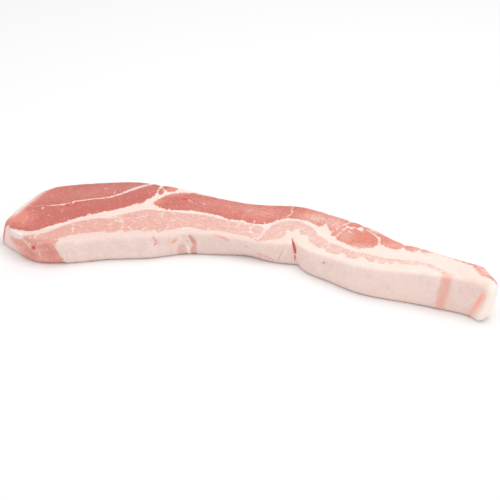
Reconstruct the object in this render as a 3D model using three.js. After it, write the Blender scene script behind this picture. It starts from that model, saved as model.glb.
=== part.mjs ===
// A thick-cut slice of raw pork belly with the rind trimmed off, lying on one of its two cut faces.
//
// Frame: millimetres, +Z up. +X runs along the slice towards its thin end, -Y is the outer fat side
// and +Y the inner, rib side. The origin is below the middle of the slice, on the surface it lies on.
//
// The slice is one continuous piece of meat, so it is one closed solid: a box of small squares whose
// plan is stretched over four edge curves and whose sides are rounded off into a soft wall.

import * as THREE from 'three';

// ---- Driving dimensions --------------------------------------------------------------------

// The outer fat side, seen from above: the thick end to the crease, and the crease to the thin end.
const FAT_SIDE_TO_CREASE = [
  [-126.5, -30], [-117, -37], [-102, -39.5], [-87, -34.5], [-70, -26.5],
  [-50, -19], [-33, -9.5], [-14, -5.5], [10, -5.5], [26.2, -3.6],
];
const FAT_SIDE_FROM_CREASE = [
  [26.2, -3.6], [32, -9.8], [46, -15.8], [64, -22.8], [88, -24.3], [110, -26], [119, -27.5], [126, -32],
];

// The inner side, which is a little longer than the crease side and has no crease.
const RIB_SIDE = [
  [-122, 18.5], [-110, 26], [-92, 34], [-74, 39], [-54, 38.8], [-22, 35], [0, 37.5],
  [18, 39], [38, 31], [58, 21], [72, 10.4], [80, 5.8], [88, 3.4], [102, -2.5], [122.5, -10],
];

// The two ends: the thick end is blunt, the thin end is cut on the slant and comes to a lip.
const THICK_END = [[-126.5, -30], [-131.5, -23], [-131, -9], [-129.3, 1.5], [-127, 11], [-122, 18.5]];
const THIN_END = [[126, -32], [129.5, -29.5], [131, -24], [127, -17.2], [122.5, -10]];

// Where the crease lies along the slice, as a share of its length.
const CREASE_SHARE = 0.6;

// Thickness between the two cut faces, which the knife left thicker towards the thin end.
const THICKNESS = 14.2;
const THIN_END_EXTRA = 6;
const EXTRA_STARTS_AT = 16;
const EXTRA_ENDS_AT = 123;
const WAIST_DIP = 2;
const WAIST_AT = 0;
const WAIST_SPREAD = 26;

// The cut isn't quite square to the table: the upper face sits this much further out on the fat side
// than the lower one, and at both ends it sits this much further towards the thin end.
const LEAN_OUTWARD = 0.5;
const LEAN_AT_ENDS = 3.5;

// The crease bites deeper into the fat and runs back towards the thick end as it rises.
const CREASE_BITE = 1.6;
const CREASE_SLANT = 3.6;
const CREASE_SPREAD = 0.01;
const CREASE_FADE = 4;

// Where the fat side is undercut, its lower edge is set back this far from the outline.
const UNDERCUTS = [
  { x: -120, spread: 9, depth: 4 },
  { x: -1, spread: 11, depth: 3.2 },
];
const UNDERCUT_CURVE = 1.5;
const UNDERCUT_FADE = 2;

// The soft wall round the slice: how far in from the outline each cut face turns flat, at the two
// long sides and at the two ends, and how square the rounding is (2 is an ellipse).
const WALL_DEPTH_SIDE = 5;
const WALL_DEPTH_END = 7;
const WALL_SQUARENESS = 4;

// Muscles that swell above the cut face: place, half lengths along and across, turn and height.
const MUSCLE_SWELLS = {
  thickEndLean: { x: -90, y: 7, along: 34, across: 15, turn: 38, height: 1.1 },
  thickEndRib: { x: -80, y: 25, along: 26, across: 8, turn: 14, height: 0.8 },
  middle: { x: -24, y: 23, along: 34, across: 8, turn: -4, height: 0.9 },
  behindCrease: { x: 28, y: 18, along: 18, across: 10, turn: -20, height: 0.7 },
  oval: { x: 56, y: 8, along: 12, across: 8, turn: -24, height: 0.8 },
};

// How finely the box is divided along, across and up the slice.
const SQUARES_ALONG = 85;
const SQUARES_ACROSS = 14;
const SQUARES_UP = 6;

// ---- Curves and measures -------------------------------------------------------------------

const splineThrough = (points) => new THREE.SplineCurve(points.map(([x, y]) => new THREE.Vector2(x, y)));

const fatSideToCrease = splineThrough(FAT_SIDE_TO_CREASE);
const fatSideFromCrease = splineThrough(FAT_SIDE_FROM_CREASE);
const ribSide = splineThrough(RIB_SIDE);
const thickEnd = splineThrough(THICK_END);
const thinEnd = splineThrough(THIN_END);

// The two curves of the fat side meet in a sharp inward corner, the crease.
function fatSidePoint(along) {
  if (along <= CREASE_SHARE) return fatSideToCrease.getPointAt(along / CREASE_SHARE);
  return fatSideFromCrease.getPointAt((along - CREASE_SHARE) / (1 - CREASE_SHARE));
}

// A point of the plan, stretched between the four edge curves (a Coons patch).
function planPoint(along, across) {
  const fat = fatSidePoint(along);
  const rib = ribSide.getPointAt(along);
  const start = thickEnd.getPointAt(across);
  const end = thinEnd.getPointAt(across);
  const nearEdge = thickEnd.getPointAt(0).lerp(thinEnd.getPointAt(0), along);
  const farEdge = thickEnd.getPointAt(1).lerp(thinEnd.getPointAt(1), along);
  const betweenSides = fat.clone().lerp(rib, across);
  const betweenEnds = start.clone().lerp(end, along);
  return betweenSides.add(betweenEnds).sub(nearEdge.lerp(farEdge, across));
}

const thicknessAt = (x) =>
  THICKNESS
  + THIN_END_EXTRA * THREE.MathUtils.smoothstep(x, EXTRA_STARTS_AT, EXTRA_ENDS_AT)
  - WAIST_DIP * Math.exp(-(((x - WAIST_AT) / WAIST_SPREAD) ** 2));

function swellAt(x, y) {
  let rise = 0;
  for (const swell of Object.values(MUSCLE_SWELLS)) {
    const offset = new THREE.Vector2(x - swell.x, y - swell.y);
    offset.rotateAround(new THREE.Vector2(), -THREE.MathUtils.degToRad(swell.turn));
    rise += swell.height * Math.exp(-((offset.x / swell.along) ** 2) - (offset.y / swell.across) ** 2);
  }
  return rise;
}

function undercutAt(x, heightShare, across) {
  let depth = 0;
  for (const cut of UNDERCUTS) depth += cut.depth * Math.exp(-(((x - cut.x) / cut.spread) ** 2));
  return depth * (1 - heightShare) ** UNDERCUT_CURVE * (1 - across) ** UNDERCUT_FADE;
}

// ---- The slice -----------------------------------------------------------------------------

// Moves a share of the way across inwards by a share of its width at both borders.
const drawnIn = (share, inset) => inset + share * (1 - 2 * inset);

// Carries a point of the unit box to its place on the slice.
function slicePoint(along, across, up) {
  const angle = (up - 0.5) * Math.PI;
  const power = 2 / WALL_SQUARENESS;
  const heightShare = 0.5 + 0.5 * Math.sign(angle) * Math.abs(Math.sin(angle)) ** power;
  const wallShare = 1 - Math.max(0, Math.cos(angle)) ** power;

  const width = fatSidePoint(along).distanceTo(ribSide.getPointAt(along));
  const length = thickEnd.getPointAt(across).distanceTo(thinEnd.getPointAt(across));
  const place = planPoint(
    drawnIn(along, (wallShare * WALL_DEPTH_END) / length),
    drawnIn(across, (wallShare * WALL_DEPTH_SIDE) / width),
  );

  const topHeight = thicknessAt(place.x) + swellAt(place.x, place.y);
  const leanAlong = LEAN_AT_ENDS * (2 * along - 1) ** 2 * (heightShare - 0.5);
  const leanOutward = LEAN_OUTWARD * (heightShare - 0.5);
  const nearCrease = Math.exp(-Math.abs(along - CREASE_SHARE) / CREASE_SPREAD) * (1 - across) ** CREASE_FADE;
  return new THREE.Vector3(
    place.x + leanAlong - CREASE_SLANT * heightShare * nearCrease,
    place.y - leanOutward + CREASE_BITE * heightShare ** 2 * nearCrease
      + undercutAt(place.x, heightShare, across),
    heightShare * topHeight,
  );
}

function sliceGeometry() {
  const geometry = new THREE.BoxGeometry(1, 1, 1, SQUARES_ALONG, SQUARES_ACROSS, SQUARES_UP);
  const position = geometry.getAttribute('position');
  for (let i = 0; i < position.count; i += 1) {
    const point = slicePoint(position.getX(i) + 0.5, position.getY(i) + 0.5, position.getZ(i) + 0.5);
    position.setXYZ(i, point.x, point.y, point.z);
  }
  geometry.deleteAttribute('uv');
  geometry.computeVertexNormals();

  // The origin goes below the middle of the slice.
  geometry.computeBoundingBox();
  const middle = geometry.boundingBox.getCenter(new THREE.Vector3());
  geometry.translate(-middle.x, -middle.y, -geometry.boundingBox.min.z);
  return geometry;
}

const rawPork = new THREE.MeshStandardMaterial({ color: 0xe6b0a0, roughness: 0.45, metalness: 0 });

const porkSlice = new THREE.Mesh(sliceGeometry(), rawPork);
porkSlice.name = 'pork_slice';

const group = new THREE.Group();
group.add(porkSlice);

export default group;
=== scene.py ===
# %% [markdown]
# # A thick-cut slice of raw pork belly
# This lesson models one slice of raw belly, lying on one of its two cut faces. The packed CAD model is
# the frame: it fixes the size and the place of the slice. Here the slice gets its fine skin, the
# layers of fat and lean that run through it, and a moist finish. The slice is worked out in
# millimetres and turned into metres only when its mesh is made. Lamps and table are given in metres.

# %% Frame
import math

import bpy
import numpy as np
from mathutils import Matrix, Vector, noise


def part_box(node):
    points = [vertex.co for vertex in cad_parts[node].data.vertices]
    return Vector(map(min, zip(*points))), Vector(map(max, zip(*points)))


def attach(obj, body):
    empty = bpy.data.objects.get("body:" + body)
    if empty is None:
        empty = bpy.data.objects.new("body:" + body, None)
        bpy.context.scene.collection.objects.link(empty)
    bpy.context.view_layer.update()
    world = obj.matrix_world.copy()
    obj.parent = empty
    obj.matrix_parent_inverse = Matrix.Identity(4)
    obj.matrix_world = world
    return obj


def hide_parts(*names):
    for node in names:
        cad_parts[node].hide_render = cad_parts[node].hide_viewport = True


MM = 0.001
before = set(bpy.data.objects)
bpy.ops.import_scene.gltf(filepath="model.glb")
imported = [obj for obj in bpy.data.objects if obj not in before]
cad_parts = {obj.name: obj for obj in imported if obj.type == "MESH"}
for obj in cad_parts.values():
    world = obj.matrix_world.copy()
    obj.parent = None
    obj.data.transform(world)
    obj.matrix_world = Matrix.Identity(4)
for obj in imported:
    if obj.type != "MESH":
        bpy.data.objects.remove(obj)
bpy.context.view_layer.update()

# %% [markdown]
# ## Camera
# The slice is seen from its fat side, from above and a little from the right. A long lens far away
# keeps the two ends at nearly the same scale, which suits so long a thing. The camera is placed by an
# angle round the slice, an angle above the table and a distance, because those are easy to reason about.

# %% Camera
VIEW_TURN = math.radians(16.4)
VIEW_RISE = math.radians(30)
VIEW_DISTANCE = 740
VIEW_LENS = 100
VIEW_AIM = Vector((-2.13, 6.06, 0))
NEAREST_SEEN = 0.01

towards_camera = Vector((
    math.sin(VIEW_TURN) * math.cos(VIEW_RISE),
    -math.cos(VIEW_TURN) * math.cos(VIEW_RISE),
    math.sin(VIEW_RISE),
))
camera = bpy.data.objects.new("camera", bpy.data.cameras.new("camera"))
camera.data.lens = VIEW_LENS
camera.data.clip_start = NEAREST_SEEN
camera.location = (VIEW_AIM + towards_camera * VIEW_DISTANCE) * MM
camera.rotation_mode = "QUATERNION"
camera.rotation_quaternion = (-towards_camera).to_track_quat("-Z", "Y")
bpy.context.scene.collection.objects.link(camera)
bpy.context.scene.camera = camera
print("camera at, mm:", [round(value / MM) for value in camera.location])

# %% [markdown]
# ## Light and table
# Raw meat shows its colour best in a white room: light comes from everywhere, and a large soft lamp
# above makes the cut face a little brighter than the sides. A strong lamp alone would leave hard
# highlights on the moist surface, so the white surroundings do most of the work. A weak lamp at the thin
# end lifts the fat there. The table is a plain pale sheet, wide enough to reach past every view.

# %% Light
SURROUND_STRENGTH = 0.80
LAMPS = {"over_slice": (2.2, 0.7, (0.1, 0.05, 0.75)), "at_thin_end": (0.4, 0.4, (0.7, -0.12, 0.3))}

scene = bpy.context.scene
scene.view_settings.view_transform = "Standard"
scene.world = bpy.data.worlds.new("white_room")
scene.world.use_nodes = True
surround = scene.world.node_tree.nodes["Background"].inputs
surround["Color"].default_value = (1, 1, 1, 1)
surround["Strength"].default_value = SURROUND_STRENGTH

for name, (watts, size, place) in LAMPS.items():
    lamp = bpy.data.objects.new(name, bpy.data.lights.new(name, "AREA"))
    lamp.data.shape = "DISK"
    lamp.data.size = size
    lamp.data.energy = watts
    lamp.location = place
    lamp.rotation_euler = (-Vector(place)).to_track_quat("-Z", "Y").to_euler()
    scene.collection.objects.link(lamp)
print("lamps, W:", {name: lamp[0] for name, lamp in LAMPS.items()})

# %% Table
TABLE_SIZE = 30
TABLE_COLOUR = (0.93, 0.93, 0.93, 1)
TABLE_ROUGHNESS = 0.9
TABLE_SHINE = 0.1

table_mesh = bpy.data.meshes.new("table")
half = TABLE_SIZE / 2
table_corners = [(-half, -half, 0), (half, -half, 0), (half, half, 0), (-half, half, 0)]
table_mesh.from_pydata(table_corners, [], [(0, 1, 2, 3)])
table = bpy.data.objects.new("table", table_mesh)
scene.collection.objects.link(table)
table_paint = bpy.data.materials.new("pale_table")
table_paint.use_nodes = True
table_look = table_paint.node_tree.nodes["Principled BSDF"].inputs
table_look["Base Color"].default_value = TABLE_COLOUR
table_look["Roughness"].default_value = TABLE_ROUGHNESS
table_look["Specular IOR Level"].default_value = TABLE_SHINE
table_mesh.materials.append(table_paint)
print("table, m:", TABLE_SIZE)

# %% [markdown]
# ## Curves through a few points
# The slice is a flat, soft thing with a wandering outline, so its edges are drawn as curves through a
# few points, seen from above. Blender has curve objects for this, but the same curves are also needed
# later as numbers, to find how far any place on the meat is from a line of fat. A Catmull-Rom curve
# passes through its points and is two lines of arithmetic, so it is worked out here.

# %% Curves
STEPS_BETWEEN_POINTS = 12


def smooth_chain(points, closed=False):
    """A close chain of places on the curve that passes through the points."""
    points = np.asarray(points, float)
    if closed:
        held = np.vstack([points[-1:], points, points[:2]])
    else:
        held = np.vstack([points[:1], points, points[-1:]])
    chain = []
    for before, start, end, after in zip(held, held[1:], held[2:], held[3:]):
        t = np.arange(STEPS_BETWEEN_POINTS)[:, None] / STEPS_BETWEEN_POINTS
        leave, arrive = (end - before) / 2, (after - start) / 2
        chain.append(start + leave * t + (3 * (end - start) - 2 * leave - arrive) * t**2
                     + (2 * (start - end) + leave + arrive) * t**3)
    chain.append(held[-2:-1])
    return np.vstack(chain)


def by_length(points):
    """A function that gives the place at any share of the curve's length."""
    chain = smooth_chain(points)
    reach = np.append(0, np.cumsum(np.hypot(*np.diff(chain, axis=0).T)))

    def place(share):
        way = np.asarray(share) * reach[-1]
        return np.stack([np.interp(way, reach, chain[:, axis]) for axis in (0, 1)], -1)

    return place


print("places on a curve through 3 points:", len(smooth_chain([(0, 0), (1, 1), (2, 0)])))

# %% [markdown]
# ## The slice's outline and thickness
# These are the driving dimensions of the slice in the frame, repeated here so that the fine skin lies
# exactly where the plain solid does. The outer fat side has a sharp crease; the inner rib side hasn't.
# Both ends are cut on the slant, and the knife left the slice thicker towards its thin end.

# %% Outline
FAT_SIDE_TO_CREASE = [(-126.5, -30), (-117, -37), (-102, -39.5), (-87, -34.5), (-70, -26.5),
                      (-50, -19), (-33, -9.5), (-14, -5.5), (10, -5.5), (26.2, -3.6)]
FAT_SIDE_FROM_CREASE = [(26.2, -3.6), (32, -9.8), (46, -15.8), (64, -22.8), (88, -24.3), (110, -26),
                        (119, -27.5), (126, -32)]
RIB_SIDE = [(-122, 18.5), (-110, 26), (-92, 34), (-74, 39), (-54, 38.8), (-22, 35), (0, 37.5),
            (18, 39), (38, 31), (58, 21), (72, 10.4), (80, 5.8), (88, 3.4), (102, -2.5), (122.5, -10)]
THICK_END = [(-126.5, -30), (-131.5, -23), (-131, -9), (-129.3, 1.5), (-127, 11), (-122, 18.5)]
THIN_END = [(126, -32), (129.5, -29.5), (131, -24), (127, -17.2), (122.5, -10)]
CREASE_SHARE = 0.6

fat_to_crease = by_length(FAT_SIDE_TO_CREASE)
fat_from_crease = by_length(FAT_SIDE_FROM_CREASE)
rib_side = by_length(RIB_SIDE)
thick_end = by_length(THICK_END)
thin_end = by_length(THIN_END)


def fat_side(along):
    before = fat_to_crease(along / CREASE_SHARE)
    after = fat_from_crease((along - CREASE_SHARE) / (1 - CREASE_SHARE))
    return np.where((along <= CREASE_SHARE)[:, None], before, after)


def plan_place(along, across):
    """Stretches a unit square over the four edges (a Coons patch)."""
    u, v = along[:, None], across[:, None]
    between_sides = (1 - v) * fat_side(along) + v * rib_side(along)
    between_ends = (1 - u) * thick_end(across) + u * thin_end(across)
    near = (1 - u) * thick_end(0.0) + u * thin_end(0.0)
    far = (1 - u) * thick_end(1.0) + u * thin_end(1.0)
    return between_sides + between_ends - ((1 - v) * near + v * far)


print("foot of the crease, mm:", fat_side(np.array([CREASE_SHARE])).round(1))

# %% Thickness
THICKNESS = 14.2
THIN_END_EXTRA = 6
EXTRA_STARTS_AT = 16
EXTRA_ENDS_AT = 123
WAIST_DIP = 2
WAIST_SPREAD = 26
MUSCLE_SWELLS = {
    "thick_end_lean": (1.1, -90, 7, 34, 15, 38),
    "thick_end_rib": (0.8, -80, 25, 26, 8, 14),
    "middle": (0.9, -24, 23, 34, 8, -4),
    "behind_crease": (0.7, 28, 18, 18, 10, -20),
    "oval": (0.8, 56, 8, 12, 8, -24),
}


def ramp(value, low, high):
    """0 below low, 1 above high, and a soft S between them."""
    share = np.clip((value - low) / (high - low), 0, 1)
    return share * share * (3 - 2 * share)


def eased(value, edge, low=0, high=1):
    """Goes softly from low to high while the value crosses the edge, given as a pair."""
    return low + (high - low) * ramp(value, *edge)


def mound(x, y, middle_x, middle_y, long_reach, short_reach, turn):
    """A soft oval bump, 1 at its middle, with its long way turned by some degrees."""
    turn = math.radians(turn)
    dx, dy = x - middle_x, y - middle_y
    long_way = (dx * math.cos(turn) + dy * math.sin(turn)) / long_reach
    short_way = (dy * math.cos(turn) - dx * math.sin(turn)) / short_reach
    return np.exp(-long_way**2 - short_way**2)


def patches(x, y, table):
    """Adds up soft oval patches, each an amount and then what mound asks for."""
    return sum(amount * mound(x, y, *place) for amount, *place in table.values())


def top_height(x, y):
    extra = THIN_END_EXTRA * ramp(x, EXTRA_STARTS_AT, EXTRA_ENDS_AT)
    waist = WAIST_DIP * np.exp(-(x / WAIST_SPREAD) ** 2)
    return THICKNESS + extra - waist + patches(x, y, MUSCLE_SWELLS)


for where, middle in (("thick end", -125), ("waist", 0), ("thin end", 125)):
    print("thickness at the", where, "mm:", round(float(top_height(middle, 0)), 1))

# %% [markdown]
# ## A fine skin of squares
# The skin is a box of small squares laid over the slice: a top sheet, a bottom sheet, two long walls
# and two ends. Remeshing or sculpting would lose the exact place of every square, and that place is
# what later tells fat from lean. The squares are about half a millimetre wide on top, four times wider
# one way underneath, where the slice lies on the table, and closer together round the crease.

# %% Squares
SQUARES_ALONG = 520
SQUARES_ACROSS = 96
SQUARES_UP = 24
COARSER_BELOW = 4
CREASE_CROWDING = 2.5
CREASE_CROWD_WIDTH = 0.012
WALL_DEPTH_SIDE = 5
WALL_DEPTH_END = 7
WALL_SQUARENESS = 4
TRIAL_STEPS_ALONG = 6000
TRIAL_STEPS_UP = 4000


def even_picks(reach, values, count):
    """Picks count + 1 values evenly spaced by their reach."""
    wanted = np.linspace(reach[0], reach[-1], count + 1)
    return [np.interp(wanted, reach, value) for value in values]


fine = np.linspace(0, 1, TRIAL_STEPS_ALONG + 1)
crowding = 1 + CREASE_CROWDING * np.exp(-((fine - CREASE_SHARE) / CREASE_CROWD_WIDTH) ** 2)
along_steps, = even_picks(np.cumsum(crowding), [fine], SQUARES_ALONG)
along_steps[np.abs(along_steps - CREASE_SHARE).argmin()] = CREASE_SHARE
across_steps = np.linspace(0, 1, SQUARES_ACROSS + 1)

angle = np.linspace(-math.pi / 2, math.pi / 2, TRIAL_STEPS_UP + 1)
power = 2 / WALL_SQUARENESS
height_share = 0.5 + 0.5 * np.sign(angle) * np.abs(np.sin(angle)) ** power
wall_share = 1 - np.clip(np.cos(angle), 0, 1) ** power
wall_way = np.hypot(np.diff(wall_share) * WALL_DEPTH_SIDE, np.diff(height_share) * THICKNESS)
wall_reach = np.append(0, np.cumsum(wall_way))
wall_steps, height_steps = even_picks(wall_reach, [wall_share, height_share], SQUARES_UP)
print("squares along, across and up:", SQUARES_ALONG, SQUARES_ACROSS, SQUARES_UP)

# %% Sheets and walls
blocks = []


def new_points(along, across, wall, height):
    """Adds a block of skin points and returns their numbers, in the block's own rows and columns."""
    block = np.stack(np.broadcast_arrays(along, across, wall, height), -1).astype(float)
    first = sum(len(made) for made in blocks)
    blocks.append(block.reshape(-1, 4))
    return first + np.arange(block.size // 4).reshape(block.shape[:-1])


lengthways = along_steps[:, None]
top_sheet = new_points(lengthways, across_steps[None, :], 1, 1)
bottom_sheet = new_points(lengthways, across_steps[None, ::COARSER_BELOW], 1, 0)


def long_wall(across, column):
    inner = new_points(lengthways, across, wall_steps[None, 1:-1], height_steps[None, 1:-1])
    return np.column_stack([bottom_sheet[:, column], inner, top_sheet[:, column]])


def end_wall(along, row):
    inner = new_points(along, across_steps[1:-1, None], wall_steps[None, 1:-1], height_steps[None, 1:-1])
    lower = np.zeros(SQUARES_ACROSS + 1, int)
    lower[::COARSER_BELOW] = bottom_sheet[row]
    between = np.arange(SQUARES_ACROSS + 1) % COARSER_BELOW > 0
    lower[between] = new_points(along, across_steps[between], 1, 0)
    middle = np.column_stack([lower[1:-1], inner, top_sheet[row, 1:-1]])
    return np.vstack([fat_wall[row], middle, rib_wall[row]])


fat_wall = long_wall(0, 0)
rib_wall = long_wall(1, -1)
thick_wall = end_wall(0, 0)
thin_wall = end_wall(1, -1)
along, across, wall, height = np.vstack(blocks).T
print("skin points:", len(along))


# %% Faces
def squares(sheet, flip=False):
    corners = [sheet[:-1, :-1], sheet[1:, :-1], sheet[1:, 1:], sheet[:-1, 1:]]
    faces = np.stack([corner.ravel() for corner in corners], -1)
    return (faces[:, ::-1] if flip else faces).tolist()


def joining_faces(fine_edge, coarse_edge, inner_row, flip):
    """Joins the bottom sheet's wide squares to the narrow ones of an end."""
    faces = []
    for column in range(len(coarse_edge) - 1):
        start = column * COARSER_BELOW
        face = list(fine_edge[start:start + COARSER_BELOW + 1]) + [inner_row[column + 1], inner_row[column]]
        faces.append([int(corner) for corner in (face[::-1] if flip else face)])
    return faces


faces = squares(top_sheet) + squares(bottom_sheet[1:-1], flip=True)
faces += joining_faces(thick_wall[:, 0], bottom_sheet[0], bottom_sheet[1], flip=False)
faces += joining_faces(thin_wall[:, 0], bottom_sheet[-1], bottom_sheet[-2], flip=True)
faces += squares(fat_wall) + squares(rib_wall, flip=True)
faces += squares(thick_wall, flip=True) + squares(thin_wall)
print("skin faces:", len(faces), "triangles:", sum(len(face) - 2 for face in faces))

# %% [markdown]
# ## Laying the skin over the slice
# Each point knows how far along, across and up it is, and the same arithmetic as in the frame carries
# it to its place: the walls are rounded, the cut leans a little, the crease bites into the fat, and in
# two places the fat side is undercut.

# %% Laying the skin
LEAN_OUTWARD = 0.5
LEAN_AT_ENDS = 3.5
CREASE_BITE = 1.6
CREASE_SLANT = 3.6
CREASE_SPREAD = 0.01
CREASE_FADE = 4
UNDERCUTS = [(-120, 9, 4), (-1, 11, 3.2)]
UNDERCUT_CURVE = 1.5
UNDERCUT_FADE = 2


def drawn_in(share, inset):
    return inset + share * (1 - 2 * inset)


width = np.hypot(*(fat_side(along) - rib_side(along)).T)
length = np.hypot(*(thick_end(across) - thin_end(across)).T)
plan = plan_place(
    drawn_in(along, wall * WALL_DEPTH_END / length),
    drawn_in(across, wall * WALL_DEPTH_SIDE / width),
)
top = top_height(plan[:, 0], plan[:, 1])
undercut = sum(depth * np.exp(-((plan[:, 0] - middle) / spread) ** 2) for middle, spread, depth in UNDERCUTS)
undercut = undercut * (1 - height) ** UNDERCUT_CURVE * (1 - across) ** UNDERCUT_FADE
near_crease = np.exp(-np.abs(along - CREASE_SHARE) / CREASE_SPREAD) * (1 - across) ** CREASE_FADE
skin = np.column_stack([
    plan[:, 0] + LEAN_AT_ENDS * (2 * along - 1) ** 2 * (height - 0.5) - CREASE_SLANT * height * near_crease,
    plan[:, 1] - LEAN_OUTWARD * (height - 0.5) + CREASE_BITE * height**2 * near_crease + undercut,
    height * top,
])
skin[:, :2] -= (skin[:, :2].max(0) + skin[:, :2].min(0)) / 2
x, y, z = skin.T
box_low, box_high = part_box("pork_slice")
print("off the frame's box, mm:", np.round(skin.min(0) - np.array(box_low) / MM, 2),
      np.round(skin.max(0) - np.array(box_high) / MM, 2))

# %% [markdown]
# ## How far is the nearest line?
# Fat and lean are told apart by distance. For a line drawn on the slice, every skin point finds its
# nearest place on that line, and for a closed outline it also finds whether it lies inside. A distance
# is smooth where a yes or no is jagged, so an edge stays crisp between two points of the skin.

# %% Distances
OUT_OF_REACH = 60.0
LOOK_AROUND = 8
TINY = 1e-9


def from_line(places, chain):
    """Each place's distance from a chain of points, and how far along the chain it is nearest."""
    chain = np.asarray(chain, float)
    distance = np.full(len(places), OUT_OF_REACH)
    share = np.zeros(len(places))
    if len(chain) == 1:
        return np.hypot(*(places - chain[0]).T), share
    for number, (start, end) in enumerate(zip(chain, chain[1:])):
        way = end - start
        offset = places - start
        t = np.clip(offset @ way / (way @ way + TINY), 0, 1)
        apart = np.hypot(*(offset - t[:, None] * way).T)
        closer = apart < distance
        distance[closer] = apart[closer]
        share[closer] = (number + t[closer]) / (len(chain) - 1)
    return distance, share


def close_to(places, chain, margin):
    """Which places lie in the chain's box or this near it: only these are worth a closer look."""
    return np.all((places > chain.min(0) - margin) & (places < chain.max(0) + margin), axis=1)


def depth_inside(places, outline):
    """How deep each place lies inside a closed outline; outside it the depth is below 0."""
    chain = smooth_chain(outline, closed=True)
    near = close_to(places, chain, LOOK_AROUND)
    depth = np.full(len(places), -OUT_OF_REACH)
    some = places[near]
    inside = np.zeros(len(some), bool)
    for start, end in zip(chain, chain[1:]):
        rises = (start[1] > some[:, 1]) != (end[1] > some[:, 1])
        crossing = start[0] + (some[:, 1] - start[1]) * (end[0] - start[0]) / (end[1] - start[1] + TINY)
        inside ^= rises & (some[:, 0] < crossing)
    depth[near] = np.where(inside, 1, -1) * from_line(some, chain)[0]
    return depth


trial_square = [(-5, -5), (5, -5), (5, 5), (-5, 5)]
print("depth in the middle of a rounded square, mm:", depth_inside(np.zeros((1, 2)), trial_square).round(1))

# %% Strokes
STROKE_REACH = 4
END_TAPER = 8
LEFT_AT_ENDS = 0.2


def strokes(places, pens):
    """1 along thin drawn lines and on spots, fading to 0 round them.

    Each pen is a half width and a strength, and then its strokes: lists of points, or single spots.
    A stroke that is much longer than it is wide thins out towards its ends.
    """
    strength = np.zeros(len(places))
    for half_width, full, *drawn in pens:
        reach = STROKE_REACH * half_width
        for points in drawn:
            points = np.array(points, float, ndmin=2)
            chain = points if len(points) < 3 else smooth_chain(points)
            near = close_to(places, chain, reach)
            distance, share = from_line(places[near], chain)
            is_long = np.hypot(*(chain[-1] - chain[0])) > reach
            amount = full * np.clip(END_TAPER * share * (1 - share), LEFT_AT_ENDS, 1) if is_long else full
            strength[near] = np.maximum(strength[near], amount * np.exp(-(distance / half_width) ** 2))
    return strength


def count_drawn(pens):
    return sum(len(pen) - 2 for pen in pens)


trial_places = np.array([(0, 0), (1, 0)])
print("strength on a spot and a half width off it:", strokes(trial_places, [(1, 1, (0, 0))]).round(2))

# %% [markdown]
# ## The muscles
# A belly slice cuts across several muscles, and each shows as a dark pink shape on both cut faces.
# They are drawn as closed outlines, seen from above, and run right through the thickness. Each has its
# own tone: the big ones at the thick end are deep rose, the small ones near the ribs are lighter and
# warmer. An outline that leaves the slice shows lean in the side as well.

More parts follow.
